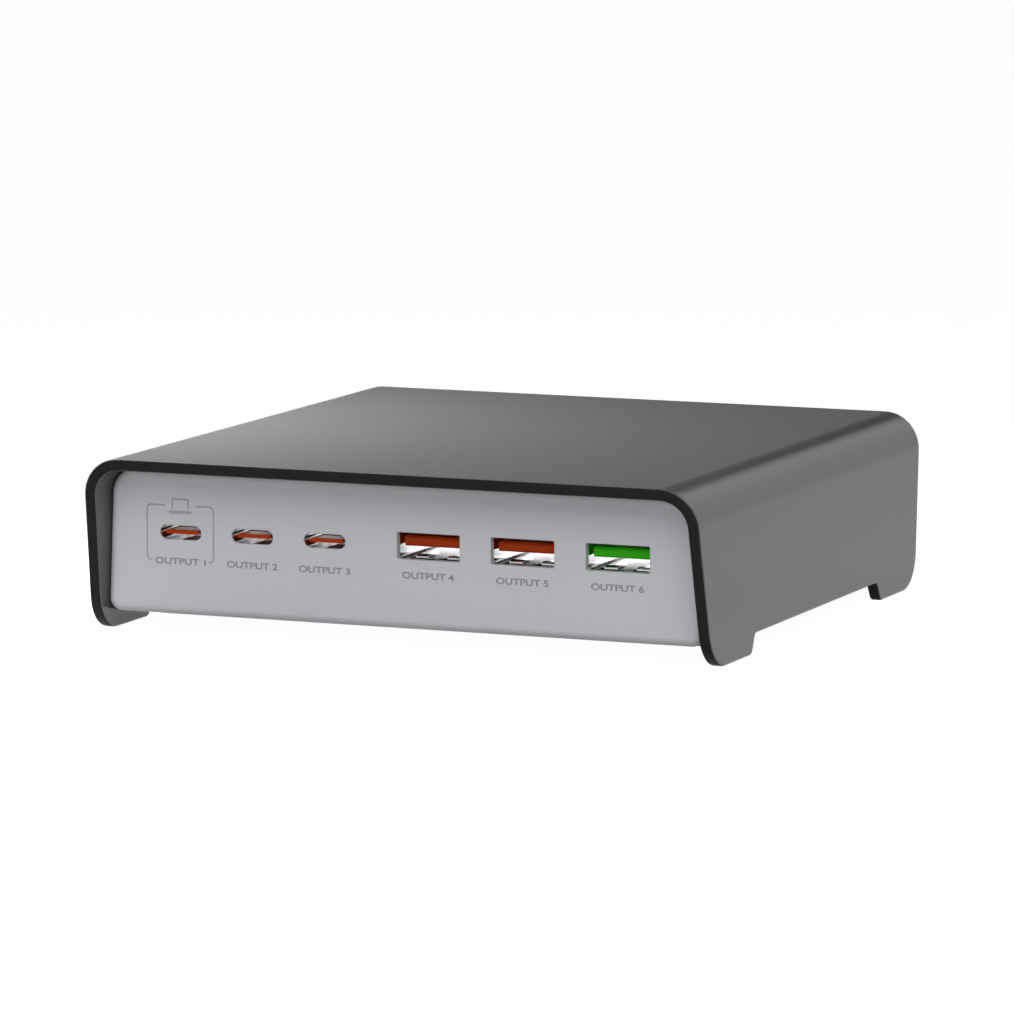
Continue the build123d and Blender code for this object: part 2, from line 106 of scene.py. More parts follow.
# Prints on the front panel, measured from a port's middle
INK_WIDTH = 0.3 * MM
INK_HEIGHT = 0.03 * MM
INK_SIDES = 8
FRAME_HALF_WIDTH = 6.7 * MM
FRAME_TOP = 5.0 * MM
FRAME_FOOT = 5.2 * MM
FRAME_CORNER = 0.8 * MM
FRAME_CORNER_STEPS = 8
FRAME_TOP_GAP = 3.1 * MM     # half the gap that holds the pictogram
FRAME_FOOT_GAP = 5.7 * MM    # half the gap that holds the label
SCREEN_HALF_WIDTH = 1.6 * MM
SCREEN_TOP = 6.2 * MM
SCREEN_FOOT = 4.35 * MM
SCREEN_CORNER = 0.25 * MM
BASE_HALF_WIDTH = 2.25 * MM
BASE_HEIGHTS = (3.9 * MM, 3.65 * MM)
LABELS = [f"OUTPUT {number}" for number in range(1, 7)]
LABEL_DROP = 5.3 * MM
LABEL_WIDTH = 10.2 * MM
LABEL_HEIGHT = 1.25 * MM
LABEL_WEIGHT = 0.022         # widens the strokes, in units of the lettering
LETTER_DEPTH = 0.5           # in the same units, before the letters are pressed to the ink's height

# Contact pads on the slim ports' tongues
PAD_COUNT = 12
PAD_PITCH = 0.5 * MM
PAD_WIDTH = 0.25 * MM
PAD_LENGTH = 3.4 * MM
PAD_HEIGHT = 0.04 * MM
PAD_INSET = 0.6 * MM         # from the tongue's tip

# Case screws
SCREW_HEAD_RADIUS = 2.5 * MM
SCREW_HEAD_HEIGHT = 1.2 * MM
SCREW_HEAD_EDGE = 0.3 * MM
SCREW_HEAD_ROUND = 0.3       # how far the rounding of that edge is cut back
SCREW_RADIUS = 1.3 * MM
SCREW_CORE = 1.0 * MM
SCREW_PITCH = 0.9 * MM
SCREW_SIDES = 40
CROSS_WIDTH = 0.75 * MM
CROSS_LENGTH = 2.9 * MM
CROSS_DEPTH = 0.8 * MM
CROSS_TAPER = 0.55           # floor of the cross recess against its mouth


# Pieces

def link(name, mesh):
    """A new object for a mesh, at the origin."""
    piece = bpy.data.objects.new(name, mesh)
    scene.collection.objects.link(piece)
    return piece


def plain_mesh(piece):
    """Turns a piece with live modifiers into one with a plain mesh."""
    bpy.context.view_layer.update()
    evaluated = piece.evaluated_get(bpy.context.evaluated_depsgraph_get())
    mesh = bpy.data.meshes.new_from_object(evaluated)
    mesh.name = piece.name
    piece.modifiers.clear()
    piece.data = mesh
    return piece


def hand_over(piece, slot, *replaced):
    """The finished piece rides on the body and may stand for solids, which it hides; the slot is not used."""
    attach(piece, BODY)
    if replaced:
        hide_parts(*replaced)


def middle(node):
    low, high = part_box(node)
    return (low + high) / 2


# Geometry node trees

def add(tree, kind, **settings):
    """A new node with its settings."""
    node = tree.nodes.new(kind)
    for name, value in settings.items():
        setattr(node, name, value)
    return node


def join(tree, outlet, inlet):
    tree.links.new(outlet, inlet)


def new_tree(name, inputs):
    """A geometry node tree with named inputs; gives the tree, its inlets and its outlet."""
    tree = bpy.data.node_groups.new(name, "GeometryNodeTree")
    tree.interface.new_socket("Geometry", in_out="INPUT", socket_type="NodeSocketGeometry")
    for socket, kind in inputs.items():
        tree.interface.new_socket(socket, in_out="INPUT", socket_type=f"NodeSocket{kind}")
    tree.interface.new_socket("Geometry", in_out="OUTPUT", socket_type="NodeSocketGeometry")
    return tree, add(tree, "NodeGroupInput").outputs, add(tree, "NodeGroupOutput").inputs[0]


def end_tree(tree, geometry, material, outlet):
    """Every tree ends in real faces with their material."""
    real = add(tree, "GeometryNodeRealizeInstances")
    painted = add(tree, "GeometryNodeSetMaterial")
    join(tree, geometry, real.inputs["Geometry"])
    join(tree, real.outputs[0], painted.inputs["Geometry"])
    join(tree, material, painted.inputs["Material"])
    join(tree, painted.outputs[0], outlet)


def grow(name, mesh, tree, values):
    """Runs a tree on a mesh and keeps the result as a plain mesh."""
    piece = link(name, mesh)
    modifier = piece.modifiers.new(name, "NODES")
    modifier.node_group = tree
    for socket in tree.interface.items_tree:
        if socket.in_out == "INPUT" and socket.name in values:
            modifier[socket.identifier] = values[socket.name]
    return plain_mesh(piece)


def vector(tree, *parts):
    """A vector from sockets and numbers."""
    node = add(tree, "ShaderNodeCombineXYZ")
    for inlet, part in zip(node.inputs, parts):
        feed(tree, part, inlet)
    return node.outputs[0]


def feed(tree, value, inlet):
    """Links a socket to an inlet, or sets the inlet to a number."""
    if isinstance(value, bpy.types.NodeSocket):
        join(tree, value, inlet)
    else:
        inlet.default_value = value


def reckon(tree, operation, *values):
    """The result of a math node on sockets and numbers."""
    node = add(tree, "ShaderNodeMath", operation=operation)
    for inlet, value in zip(node.inputs, values):
        feed(tree, value, inlet)
    return node.outputs[0]


def stroke_tree():
    """Printed strokes: a flat rounded bead of ink along the edges of a mesh in the XZ plane."""
    sizes = {"Width": "Float", "Height": "Float", "Sides": "Int", "Corner": "Float", "Corner Steps": "Int"}
    tree, given, outlet = new_tree("printed_strokes", sizes | {"Face": "Float", "Ink": "Material"})
    path = add(tree, "GeometryNodeMeshToCurve")
    rounded = add(tree, "GeometryNodeFilletCurve", mode="POLY")
    bead = add(tree, "GeometryNodeCurvePrimitiveCircle", mode="RADIUS")
    swept = add(tree, "GeometryNodeCurveToMesh")
    pressed = add(tree, "GeometryNodeTransform")
    join(tree, given["Geometry"], path.inputs["Mesh"])
    join(tree, path.outputs[0], rounded.inputs["Curve"])
    join(tree, given["Corner"], rounded.inputs["Radius"])
    join(tree, given["Corner Steps"], rounded.inputs["Count"])
    join(tree, given["Sides"], bead.inputs["Resolution"])
    join(tree, reckon(tree, "MULTIPLY", given["Width"], 0.5), bead.inputs["Radius"])
    join(tree, rounded.outputs[0], swept.inputs["Curve"])
    join(tree, bead.outputs[0], swept.inputs["Profile Curve"])
    swept.inputs["Fill Caps"].default_value = True
    join(tree, swept.outputs[0], pressed.inputs["Geometry"])
    flatness = reckon(tree, "DIVIDE", given["Height"], given["Width"])
    join(tree, vector(tree, 1, flatness, 1), pressed.inputs["Scale"])
    join(tree, vector(tree, 0, given["Face"], 0), pressed.inputs["Translation"])
    end_tree(tree, pressed.outputs[0], given["Ink"], outlet)
    return tree


def pad_tree():
    """Rows of contact pads along X, one row centred on every point of a mesh."""
    sizes = {"Count": "Int", "Pitch": "Float", "Width": "Float", "Length": "Float", "Height": "Float"}
    tree, given, outlet = new_tree("contact_pads", sizes | {"Plate": "Material"})
    pad = add(tree, "GeometryNodeMeshCube")
    row = add(tree, "GeometryNodeMeshLine", mode="OFFSET")
    pads = add(tree, "GeometryNodeInstanceOnPoints")
    rows = add(tree, "GeometryNodeInstanceOnPoints")
    join(tree, vector(tree, given["Width"], given["Length"], given["Height"]), pad.inputs["Size"])
    join(tree, given["Count"], row.inputs["Count"])
    join(tree, vector(tree, given["Pitch"], 0, 0), row.inputs["Offset"])
    gaps = reckon(tree, "SUBTRACT", given["Count"], 1)
    start = reckon(tree, "MULTIPLY", reckon(tree, "MULTIPLY", gaps, given["Pitch"]), -0.5)
    join(tree, vector(tree, start, 0, 0), row.inputs["Start Location"])
    join(tree, row.outputs[0], pads.inputs["Points"])
    join(tree, pad.outputs[0], pads.inputs["Instance"])
    join(tree, given["Geometry"], rows.inputs["Points"])
    join(tree, pads.outputs[0], rows.inputs["Instance"])
    end_tree(tree, rows.outputs[0], given["Plate"], outlet)
    return tree


def set_tree():
    """One fastener set on every point of a mesh."""
    tree, given, outlet = new_tree("fastener_set", {"Fastener": "Object", "Plating": "Material"})
    fastener = add(tree, "GeometryNodeObjectInfo")
    placed = add(tree, "GeometryNodeInstanceOnPoints")
    join(tree, given["Fastener"], fastener.inputs["Object"])
    join(tree, given["Geometry"], placed.inputs["Points"])
    join(tree, fastener.outputs["Geometry"], placed.inputs["Instance"])
    end_tree(tree, placed.outputs[0], given["Plating"], outlet)
    return tree


# Shader groups and materials

def new_group(name, inputs, outputs):
    """A shader node group with named sockets; gives the group, its inlets and its outlets."""
    group = bpy.data.node_groups.new(name, "ShaderNodeTree")
    kinds = {"Colour": "NodeSocketColor", "Stretch": "NodeSocketVector"}
    for way, sockets in (("INPUT", inputs), ("OUTPUT", outputs)):
        for socket in sockets:
            group.interface.new_socket(socket, in_out=way, socket_type=kinds.get(socket, "NodeSocketFloat"))
    return group, add(group, "NodeGroupInput").outputs, add(group, "NodeGroupOutput").inputs


def swing(tree, place, size, detail):
    """Noise from about -1 to 1, with features of a size in metres."""
    noise = add(tree, "ShaderNodeTexNoise")
    noise.inputs["Detail"].default_value = detail
    join(tree, place, noise.inputs["Vector"])
    feed(tree, reckon(tree, "DIVIDE", 1.0, size), noise.inputs["Scale"])
    return reckon(tree, "MULTIPLY_ADD", noise.outputs["Fac"], 2.0, -1.0)


def vary(tree, given, outlets, shade, sheen):
    """Lets noise vary the given colour and roughness."""
    factor = reckon(tree, "MULTIPLY_ADD", shade, given["Colour Spread"], 1.0)
    colour = add(tree, "ShaderNodeVectorMath", operation="SCALE")
    join(tree, given["Colour"], colour.inputs[0])
    join(tree, factor, colour.inputs["Scale"])
    join(tree, colour.outputs[0], outlets["Colour"])
    rough = reckon(tree, "MULTIPLY_ADD", sheen, given["Roughness Spread"], given["Roughness"])
    join(tree, rough, outlets["Roughness"])


SPREADS = ["Colour", "Colour Spread", "Roughness", "Roughness Spread"]
FINISH = ["Colour", "Roughness", "Height"]
GRAIN_SHARE = 0.35           # of the grain in the shade, beside the cloudy patches
LINE_SHARE = 0.5             # of the lines in the sheen, beside the broad changes
PATCH_PER_LINE = 20          # size of the broad changes against the lines


def grain_group():
    """Paint and moulded plastic: a fine grain, with soft cloudy patches of shade and sheen."""
    group, given, outlets = new_group("fine_grain", SPREADS + ["Grain Size", "Patch Size"], FINISH)
    place = add(group, "ShaderNodeTexCoord").outputs["Object"]
    grain = swing(group, place, given["Grain Size"], 2.0)
    patch = swing(group, place, given["Patch Size"], 3.0)
    mottle = reckon(group, "MULTIPLY_ADD", grain, GRAIN_SHARE, patch)
    vary(group, given, outlets, mottle, patch)
    join(group, grain, outlets["Height"])
    return group


def streak_group():
    """Rolled, drawn or wound surfaces: lines along one axis, with broad changes of sheen."""
    group, given, outlets = new_group("drawn_lines", SPREADS + ["Line Size", "Patch Size", "Stretch"], FINISH)
    place = add(group, "ShaderNodeTexCoord").outputs["Object"]
    pulled = add(group, "ShaderNodeVectorMath", operation="MULTIPLY")
    join(group, place, pulled.inputs[0])
    join(group, given["Stretch"], pulled.inputs[1])
    lines = swing(group, pulled.outputs[0], given["Line Size"], 4.0)
    patch = swing(group, place, given["Patch Size"], 2.0)
    vary(group, given, outlets, lines, reckon(group, "MULTIPLY_ADD", lines, LINE_SHARE, patch))
    join(group, lines, outlets["Height"])
    return group


def new_material(name, roughness, metallic, specular):
    material = bpy.data.materials.new(name)
    material.use_nodes = True
    shader = material.node_tree.nodes["Principled BSDF"]
    shader.inputs["Roughness"].default_value = roughness
    shader.inputs["Metallic"].default_value = metallic
    shader.inputs["Specular IOR Level"].default_value = specular
    return material, material.node_tree, shader


def finished(name, group, colour, roughness, spreads, sizes, depth, metallic=0.0, specular=0.5):
    """A material whose colour, roughness and relief come from a shader group."""
    material, tree, shader = new_material(name, roughness, metallic, specular)
    effect = add(tree, "ShaderNodeGroup", node_tree=group)
    effect.inputs["Colour"].default_value = (*colour, 1)
    effect.inputs["Roughness"].default_value = roughness
    effect.inputs["Colour Spread"].default_value, effect.inputs["Roughness Spread"].default_value = spreads
    for socket, size in sizes.items():
        effect.inputs[socket].default_value = size
    relief = add(tree, "ShaderNodeBump")
    relief.inputs["Distance"].default_value = depth
    join(tree, effect.outputs["Height"], relief.inputs["Height"])
    join(tree, relief.outputs[0], shader.inputs["Normal"])
    join(tree, effect.outputs["Colour"], shader.inputs["Base Color"])
    join(tree, effect.outputs["Roughness"], shader.inputs["Roughness"])
    return material


def make_finishes():
    """Every finish of the charger, by its slot or, for the four extra ones, by its own name; the one for the cover's
    cut edges is painted shade.
    """
    grain = grain_group()
    lines = streak_group()

    def moulded(name, colour, roughness, spreads, grain_size, patch_size, depth, specular=0.5):
        sizes = {"Grain Size": grain_size * MM, "Patch Size": patch_size * MM}
        return finished(name, grain, colour, roughness, spreads, sizes, depth * MM, 0.0, specular)

    def drawn(name, colour, roughness, spreads, line_size, stretch, depth, metallic=1.0):
        sizes = {"Line Size": line_size * MM, "Patch Size": PATCH_PER_LINE * line_size * MM, "Stretch": stretch}
        return finished(name, lines, colour, roughness, spreads, sizes, depth * MM, metallic)

    return {
        "cover": moulded("cover_paint", (0.09,) * 3, 0.2, (0.02, 0.03), 0.22, 14, 0.001, 0.36),
        # the cover's cut edges: painted shade, a near-black colour standing in for the shade and dark reflection those
        # faces show
        "cut_edge": moulded("cut_edge_paint", (0.012, 0.012, 0.013), 0.5, (0.1, 0.06), 0.18, 6, 0.002, 0.06),
        "panel": moulded("panel_paint", (0.45, 0.46, 0.48), 0.5, (0.012, 0.04), 0.15, 18, 0.0012, 0.3),
        "ink": moulded("panel_ink", (0.29, 0.293, 0.302), 0.55, (0.08, 0.05), 0.1, 2, 0.001, 0.3),
        "label_ink": moulded("label_ink", (0.2, 0.203, 0.21), 0.55, (0.08, 0.05), 0.1, 2, 0.001, 0.3),
        "case_plastic": moulded("tray_plastic", (0.045, 0.045, 0.048), 0.6, (0.08, 0.06), 0.3, 10, 0.012, 0.4),
        "inlet_plastic": moulded("inlet_plastic", (0.02, 0.02, 0.022), 0.45, (0.1, 0.06), 0.25, 6, 0.004),
        "port_steel": drawn("port_plating", (0.97, 0.97, 0.975), 0.06, (0.02, 0.02), 0.12, (1, 0.05, 1), 0.0002),
        "port_end": drawn("end_plating", (0.96, 0.96, 0.965), 0.4, (0.02, 0.05), 0.12, (1, 0.2, 1), 0.0006),
        "pin_metal": drawn("pin_plating", (0.74, 0.73, 0.71), 0.16, (0.04, 0.05), 0.1, (1, 0.06, 1), 0.0008),
        "tongue_orange": moulded("orange_moulding", (0.32, 0.03, 0.001), 0.5, (0.06, 0.05), 0.08, 2, 0.001, 0.1),
        "tongue_green": moulded("green_moulding", (0.025, 0.38, 0.002), 0.5, (0.06, 0.05), 0.08, 2, 0.001, 0.1),
        "contact_plate": drawn("contact_plating", (0.93, 0.93, 0.92), 0.2, (0.03, 0.06), 0.06, (1, 0.1, 1), 0.0005),
        "screw_steel": drawn("screw_plating", (0.2, 0.2, 0.21), 0.34, (0.12, 0.08), 0.1, (1, 1, 0.2), 0.002),
        "film": drawn("film_sheet", (0.6, 0.6, 0.55), 0.25, (0.04, 0.08), 0.6, (1, 0.08, 1), 0.002, 0.0),
        "ferrite": moulded("ferrite_body", (0.03, 0.03, 0.032), 0.7, (0.25, 0.08), 0.25, 3, 0.02, 0.3),
        "coil_tape": drawn("coil_tape", (0.68, 0.46, 0.05), 0.3, (0.06, 0.08), 0.5, (0.06, 0.06, 1), 0.01, 0.0),
        "copper_winding": drawn("copper_winding", (0.6, 0.21, 0.07), 0.3, (0.3, 0.1), 0.5, (1, 1, 0.08), 0.15),
        "pad_silicone": moulded("pad_silicone", (0.4, 0.45, 0.5), 0.8, (0.08, 0.05), 0.4, 4, 0.03, 0.3),
        "capacitor_sleeve": drawn("sleeve_film", (0.02, 0.022, 0.028), 0.28, (0.1, 0.06), 0.5, (1, 0.1, 1), 0.004, 0.0),
        "capacitor_box": moulded("capacitor_box", (0.55, 0.4, 0.06), 0.45, (0.06, 0.05), 0.3, 4, 0.008),
        "fuse_body": moulded("fuse_body", (0.05, 0.05, 0.052), 0.5, (0.1, 0.05), 0.25, 3, 0.006),
        "sink_aluminium": drawn("sink_metal", (0.6, 0.61, 0.62), 0.36, (0.06, 0.06), 0.25, (0.04, 1, 1), 0.004),
        "package_black": moulded("package_resin", (0.022, 0.022, 0.024), 0.55, (0.12, 0.06), 0.2, 3, 0.006, 0.4),
        "can_aluminium": drawn("can_metal", (0.66, 0.67, 0.68), 0.3, (0.05, 0.05), 0.3, (1, 1, 0.06), 0.003),
        "board": board_material(grain),
    }


def board_material(grain):
    """Solder mask over copper: fine runs of track show through as paler green lines."""
    mask_green = (0.012, 0.085, 0.035)
    track_green = (0.03, 0.16, 0.06)
    track_spacing = 9 * MM
    track_width = 0.035          # as a share of the spacing
    track_stagger = 0.37
    sizes = {"Grain Size": 0.5 * MM, "Patch Size": 9 * MM}
    material = finished("solder_mask", grain, mask_green, 0.35, (0.1, 0.06), sizes, 0.004 * MM)
    tree = material.node_tree
    shader = tree.nodes["Principled BSDF"]
    masked = shader.inputs["Base Color"].links[0].from_socket
    place = add(tree, "ShaderNodeTexCoord").outputs["Object"]
    tracks = add(tree, "ShaderNodeTexBrick", offset=track_stagger, squash=1.0)
    tracks.inputs["Color1"].default_value = (0, 0, 0, 1)
    tracks.inputs["Color2"].default_value = (0, 0, 0, 1)
    tracks.inputs["Mortar"].default_value = (1, 1, 1, 1)
    tracks.inputs["Scale"].default_value = 1 / track_spacing
    tracks.inputs["Mortar Size"].default_value = track_width
    mix = add(tree, "ShaderNodeMix", data_type="RGBA")
    join(tree, place, tracks.inputs["Vector"])
    join(tree, tracks.outputs["Color"], mix.inputs["Factor"])
    join(tree, masked, mix.inputs["A"])
    mix.inputs["B"].default_value = (*track_green, 1)
    join(tree, mix.outputs["Result"], shader.inputs["Base Color"])
    return material


# Studio

def seen_rays(tree):
    """One for the camera's own rays, and one for those of reflections and of glass."""
    path = add(tree, "ShaderNodeLightPath").outputs
    mirrored = reckon(tree, "MAXIMUM", path["Is Glossy Ray"], path["Is Transmission Ray"])
    return path["Is Camera Ray"], mirrored


def ramp(tree, value, start, end):
    """Carries a value from one span to another."""
    node = add(tree, "ShaderNodeMapRange")
    feed(tree, value, node.inputs["Value"])
    node.inputs["From Min"].default_value, node.inputs["From Max"].default_value = start
    node.inputs["To Min"].default_value, node.inputs["To Max"].default_value = end
    return node.outputs["Result"]


def blend(tree, factor, first, second):
    """Goes from a first value to a second one."""
    node = add(tree, "ShaderNodeMix", data_type="FLOAT")
    for socket, value in (("Factor", factor), ("A", first), ("B", second)):
        feed(tree, value, node.inputs[socket])
    return node.outputs["Result"]


def make_floor():
    half = FLOOR_SIZE / 2
    mesh = bpy.data.meshes.new("floor")
    mesh.from_pydata([(-half, -half, 0), (half, -half, 0), (half, half, 0), (-half, half, 0)], [], [(0, 1, 2, 3)])
    floor = link("floor", mesh)
    material, tree, shader = new_material("floor_paper", 0.9, 0.0, 0.0)
    shader.inputs["Base Color"].default_value = (FLOOR_WHITE, FLOOR_WHITE, FLOOR_WHITE, 1)
    shader.inputs["Emission Color"].default_value = (1, 1, 1, 1)
    shown = reckon(tree, "MAXIMUM", *seen_rays(tree))
    glow = ramp(tree, shown, (0, 1), (FLOOR_BOUNCE, FLOOR_GLOW))
    join(tree, glow, shader.inputs["Emission Strength"])
    mesh.materials.append(material)


def make_world():
    """A pale room: a soft sky for light, and for reflections a white front, a large soft box
    behind on the right and a dim corner behind on the left."""
    world = bpy.data.worlds.new("studio")
    scene.world = world
    world.use_nodes = True
    tree = world.node_tree
    background = tree.nodes["Background"]
    background.inputs["Color"].default_value = (1, 1, 1, 1)
    axes = add(tree, "ShaderNodeSeparateXYZ")
    join(tree, add(tree, "ShaderNodeTexCoord").outputs["Generated"], axes.inputs[0])
    across, along, rise = axes.outputs
    lit = ramp(tree, rise, SKY_RISE, (SKY_HORIZON, SKY_ZENITH))
    front = ramp(tree, rise, SEEN_RISE, (SEEN_HORIZON, SEEN_ZENITH))
    corner = ramp(tree, rise, CORNER_RISE, (CORNER_HORIZON, CORNER_ZENITH))
    behind = blend(tree, ramp(tree, across, BOX_EDGE, (0, 1)), corner, BOX_GLOW)
    room = blend(tree, ramp(tree, along, BACK_EDGE, (0, 1)), front, behind)
    direct, mirrored = seen_rays(tree)
    strength = blend(tree, direct, blend(tree, mirrored, lit, room), SEEN_HORIZON)
    join(tree, strength, background.inputs["Strength"])


def make_lamp(name, place, aim, size, spread, power):
    light = bpy.data.lights.new(name, "AREA")
    light.shape = "RECTANGLE"
    light.size, light.size_y = (side * MM for side in size)
    light.spread = radians(spread)
    light.energy = power
    lamp = bpy.data.objects.new(name, light)
    lamp.location = Vector(place) * MM
    lamp.rotation_euler = (Vector(aim) - Vector(place)).to_track_quat("-Z", "Y").to_euler()
    lamp.visible_camera = False
    lamp.visible_glossy = name != UNREFLECTED_LAMP
    scene.collection.objects.link(lamp)


def make_camera():
    azimuth = radians(CAMERA_AZIMUTH)
    elevation = radians(CAMERA_ELEVATION)
    back = Vector((sin(azimuth) * cos(elevation), -cos(azimuth) * cos(elevation), sin(elevation)))
    camera = bpy.data.objects.new("camera", bpy.data.cameras.new("camera"))
    camera.data.lens = CAMERA_LENS
    camera.data.sensor_width = SENSOR_WIDTH
    camera.location = CAMERA_AIM + CAMERA_DISTANCE * back
    camera.rotation_euler = back.to_track_quat("Z", "Y").to_euler()
    scene.collection.objects.link(camera)
    scene.camera = camera


# The charger's own pieces

def is_cut_edge(face):
    """Whether a face of the cover is part of the raw edge of its sheet."""
    place = face.calc_center_median()
    end = abs(face.normal.y) > EDGE_FACING and abs(place.y) > EDGE_END
    across = hypot(face.normal.y, face.normal.z) > EDGE_FACING
    foot = across and place.z < EDGE_FOOT_HEIGHT and abs(place.x) > EDGE_SIDE
    return end or foot


def sheet_skin(node, name, finish, edge_plating_and_shade, is_edge):
    """A merged copy of a sheet-metal solid, with the faces that is_edge picks in a second material: painted shade on
    the cover's cut edges, a duller plating on the faces of a shell that look out.
    """
    mesh = cad_nodes[node].data.copy()
    mesh.name = name
    for layer in [layer.name for layer in mesh.attributes if layer.name == "custom_normal"]:
        mesh.attributes.remove(mesh.attributes[layer])
    mesh.materials.clear()
    mesh.materials.append(finish)
    mesh.materials.append(edge_plating_and_shade)
    shape = bmesh.new()
    shape.from_mesh(mesh)
    bmesh.ops.remove_doubles(shape, verts=shape.verts, dist=WELD)
    for face in shape.faces:
        face.smooth = True
        face.material_index = int(is_edge(face))
    for edge in shape.edges:
        edge.smooth = edge.calc_face_angle(pi) < radians(SMOOTH_ANGLE)
    shape.to_mesh(mesh)
    shape.free()
    skin = link(name, mesh)
    levelled = skin.modifiers.new("level_faces", "WEIGHTED_NORMAL")
    levelled.keep_sharp = True
    levelled.weight = LEVEL_WEIGHT
    return plain_mesh(skin)


def make_cover(paint, edge_shade):
    """The bent cover, with painted shade on its cut edges: a near-black colour there stands in for their shade."""
    hand_over(sheet_skin("cover", "cover_skin", paint, edge_shade, is_cut_edge), "cover", "cover")


def looks_out(face):
    """Whether a face of a port's shell looks out of its mouth."""
    return face.normal.y < -EDGE_FACING


def make_shells(plating, end_plating):
    """The ports' steel shells: bright walls and a duller end wall."""
    for port in PORTS:
        hand_over(sheet_skin(port, f"{port}_skin", plating, end_plating, looks_out), "port_steel", port)


def edge_mesh(name, paths):
    """A mesh of edges alone, along paths of points in the XZ plane."""
    mesh = bpy.data.meshes.new(name)
    points = [(x, 0, z) for path in paths for x, z in path]
    edges = []
    count = 0
    for path in paths:
        edges += [(count + step, count + step + 1) for step in range(len(path) - 1)]
        count += len(path)
    mesh.from_pydata(points, edges, [])
    return mesh


def make_panel_lines(ink):
    """The printed frame round the first port, and the small computer in the gap of its upper line."""
    port = middle("type_c_shell_1")
    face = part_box("front_panel")[0].y
    left = port.x - FRAME_HALF_WIDTH
    right = port.x + FRAME_HALF_WIDTH
    top = port.z + FRAME_TOP
    foot = port.z - FRAME_FOOT
    sides = []
    for side, way in ((left, -1), (right, 1)):
        upper = (port.x + way * FRAME_TOP_GAP, top)
        lower = (port.x + way * FRAME_FOOT_GAP, foot)
        sides.append([upper, (side, top), (side, foot), lower])
    screen = [
        (port.x - SCREEN_HALF_WIDTH, port.z + SCREEN_FOOT),
        (port.x - SCREEN_HALF_WIDTH, port.z + SCREEN_TOP),
        (port.x + SCREEN_HALF_WIDTH, port.z + SCREEN_TOP),
        (port.x + SCREEN_HALF_WIDTH, port.z + SCREEN_FOOT),
    ]
    base = [
        [(port.x - BASE_HALF_WIDTH, port.z + height), (port.x + BASE_HALF_WIDTH, port.z + height)]
        for height in BASE_HEIGHTS
    ]
    strokes = stroke_tree()
    sizes = {"Width": INK_WIDTH, "Height": INK_HEIGHT, "Sides": INK_SIDES, "Face": face, "Ink": ink}
    corner = {"Corner": FRAME_CORNER, "Corner Steps": FRAME_CORNER_STEPS}
    hand_over(grow("port_frame_print", edge_mesh("port_frame", sides), strokes, sizes | corner), "panel")
    corner = {"Corner": SCREEN_CORNER, "Corner Steps": FRAME_CORNER_STEPS}
    pictogram = edge_mesh("computer", [screen, *base])
    hand_over(grow("computer_print", pictogram, strokes, sizes | corner), "panel")


def make_labels(ink):
    """A small plain label under every port, half sunk in the panel's face."""
    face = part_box("front_panel")[0].y
    upright = Matrix.Rotation(pi / 2, 4, "X")
    for words, port in zip(LABELS, PORTS):
        curve = bpy.data.curves.new(words, "FONT")
        curve.body = words
        curve.extrude = LETTER_DEPTH
        curve.offset = LABEL_WEIGHT
        letters = link(f"letters_{port}", curve)
        bpy.context.view_layer.update()
        mesh = bpy.data.meshes.new_from_object(letters.evaluated_get(bpy.context.evaluated_depsgraph_get()))
        bpy.data.objects.remove(letters)
        low = Vector([min(point.co[axis] for point in mesh.vertices) for axis in range(3)])
        high = Vector([max(point.co[axis] for point in mesh.vertices) for axis in range(3)])
        size = high - low
        fitted = Matrix.Diagonal((LABEL_WIDTH / size.x, LABEL_HEIGHT / size.y, INK_HEIGHT / size.z, 1))
        spot = Vector((middle(port).x, face, middle(port).z - LABEL_DROP))
        centred = Matrix.Translation(-(low + high) / 2)
        mesh.transform(Matrix.Translation(spot) @ upright @ fitted @ centred)
        shape = bmesh.new()
        shape.from_mesh(mesh)
        bmesh.ops.remove_doubles(shape, verts=shape.verts, dist=WELD)
        bmesh.ops.recalc_face_normals(shape, faces=shape.faces[:])
        for side in shape.faces:
            side.smooth = False
        shape.to_mesh(mesh)
        shape.free()
        mesh.name = f"label_{port}"
        mesh.materials.clear()
        mesh.materials.append(ink)
        hand_over(link(f"label_{port}", mesh), "panel")


def make_pads(plating):
    """Contact pads on the upper and lower face of every slim port's tongue."""
    points = []
    for number in (1, 2, 3):
        low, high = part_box(f"type_c_tongue_{number}")
        centre = (low + high) / 2
        along = low.y + PAD_INSET + PAD_LENGTH / 2
        blade = TONGUE_THICKNESS / 2
        points += [(centre.x, along, centre.z + blade), (centre.x, along, centre.z - blade)]
    mesh = bpy.data.meshes.new("pad_rows")
    mesh.from_pydata(points, [], [])
    sizes = {"Count": PAD_COUNT, "Pitch": PAD_PITCH, "Width": PAD_WIDTH, "Length": PAD_LENGTH}
    pads = grow("slim_port_pads", mesh, pad_tree(), sizes | {"Height": PAD_HEIGHT, "Plate": plating})
    hand_over(pads, "contact_plate")


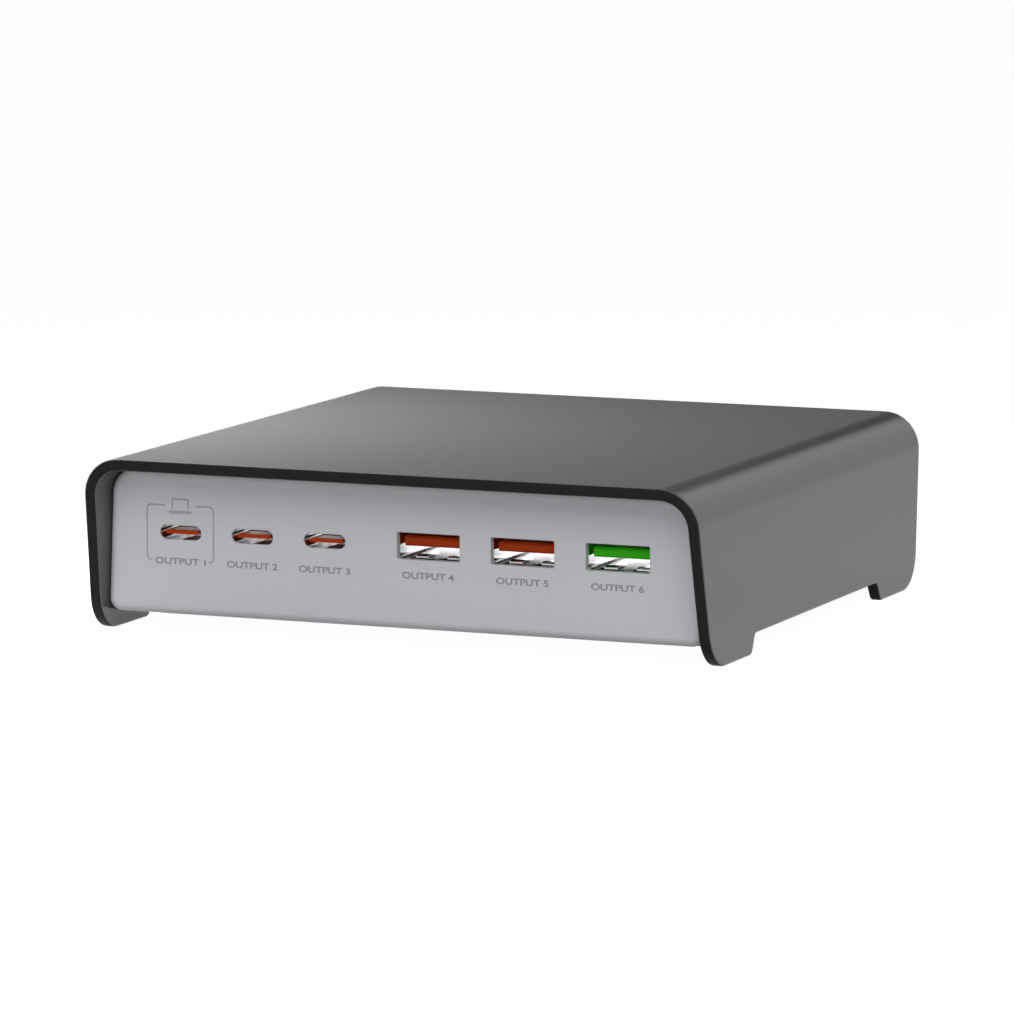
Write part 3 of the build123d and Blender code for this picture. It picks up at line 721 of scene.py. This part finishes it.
def screw_mesh(length):
    """A pan-head screw with a thread, its head's underside at zero height, pointing up."""
    profile = [
        (0, 0),
        (SCREW_HEAD_RADIUS - SCREW_HEAD_EDGE, 0),
        (SCREW_HEAD_RADIUS - SCREW_HEAD_ROUND * SCREW_HEAD_EDGE, SCREW_HEAD_ROUND * SCREW_HEAD_EDGE),
        (SCREW_HEAD_RADIUS, SCREW_HEAD_EDGE),
        (SCREW_HEAD_RADIUS, SCREW_HEAD_HEIGHT),
        (SCREW_CORE, SCREW_HEAD_HEIGHT),
    ]
    height = SCREW_HEAD_HEIGHT + SCREW_PITCH
    while height < length - 2 * SCREW_PITCH:
        profile += [(SCREW_CORE, height), (SCREW_RADIUS, height + SCREW_PITCH / 3)]
        profile += [(SCREW_RADIUS, height + SCREW_PITCH / 2), (SCREW_CORE, height + 5 * SCREW_PITCH / 6)]
        height += SCREW_PITCH
    profile += [(SCREW_CORE, length - SCREW_PITCH / 2), (0, length)]
    shape = bmesh.new()
    points = [shape.verts.new((radius, 0, z)) for radius, z in profile]
    line = [shape.edges.new(pair) for pair in zip(points, points[1:])]
    bmesh.ops.spin(shape, geom=points + line, axis=(0, 0, 1), angle=2 * pi, steps=SCREW_SIDES)
    bmesh.ops.remove_doubles(shape, verts=shape.verts, dist=WELD)
    bmesh.ops.recalc_face_normals(shape, faces=shape.faces[:])
    mesh = bpy.data.meshes.new("case_screw")
    shape.to_mesh(mesh)
    shape.free()
    return mesh


def cross_mesh():
    """The tapered cross that is sunk into a screw's head."""
    shape = bmesh.new()
    for turn in (0, pi / 2):
        corners = []
        for z, taper in ((-CROSS_DEPTH, 2 - CROSS_TAPER), (CROSS_DEPTH, CROSS_TAPER)):
            half = Vector((CROSS_LENGTH, CROSS_WIDTH)) / 2 * taper
            for x, y in ((-1, -1), (1, -1), (1, 1), (-1, 1)):
                corner = Matrix.Rotation(turn, 3, "Z") @ Vector((x * half.x, y * half.y, z))
                corners.append(shape.verts.new(corner))
        shape.faces.new(corners[:4])
        shape.faces.new(corners[4:])
        for start in range(4):
            end = (start + 1) % 4
            shape.faces.new((corners[start], corners[end], corners[end + 4], corners[start + 4]))
    bmesh.ops.recalc_face_normals(shape, faces=shape.faces[:])
    mesh = bpy.data.meshes.new("cross_recess")
    shape.to_mesh(mesh)
    shape.free()
    return mesh


def make_screws(plating):
    """The four case screws, with cross recesses in their heads."""
    low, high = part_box("case_screws")
    screw = link("case_screw", screw_mesh(high.z - low.z))
    cross = link("cross_recess", cross_mesh())
    recess = screw.modifiers.new("recess", "BOOLEAN")
    recess.operation = "DIFFERENCE"
    recess.solver = "EXACT"
    recess.use_self = True
    recess.object = cross
    plain_mesh(screw)
    bpy.data.objects.remove(cross)
    columns = (low.x + SCREW_HEAD_RADIUS, high.x - SCREW_HEAD_RADIUS)
    rows = (low.y + SCREW_HEAD_RADIUS, high.y - SCREW_HEAD_RADIUS)
    mesh = bpy.data.meshes.new("screw_places")
    mesh.from_pydata([(x, y, low.z) for x in columns for y in rows], [], [])
    screws = grow("case_screw_set", mesh, set_tree(), {"Fastener": screw, "Plating": plating})
    bpy.data.objects.remove(screw)
    hand_over(screws, "screw_steel", "case_screws")


scene.view_settings.view_transform = "Standard"
make_world()
make_floor()
make_camera()
for name, settings in LAMPS.items():
    make_lamp(name, *settings)

finishes = make_finishes()
for part in frame["record"]["subparts"]:
    slots = cad_nodes[part["node"]].data.materials
    slots.clear()
    slots.append(finishes[part["material_slot"]])
make_cover(finishes["cover"], finishes["cut_edge"])
make_shells(finishes["port_steel"], finishes["port_end"])
make_panel_lines(finishes["ink"])
make_labels(finishes["label_ink"])
make_pads(finishes["contact_plate"])
make_screws(finishes["screw_steel"])
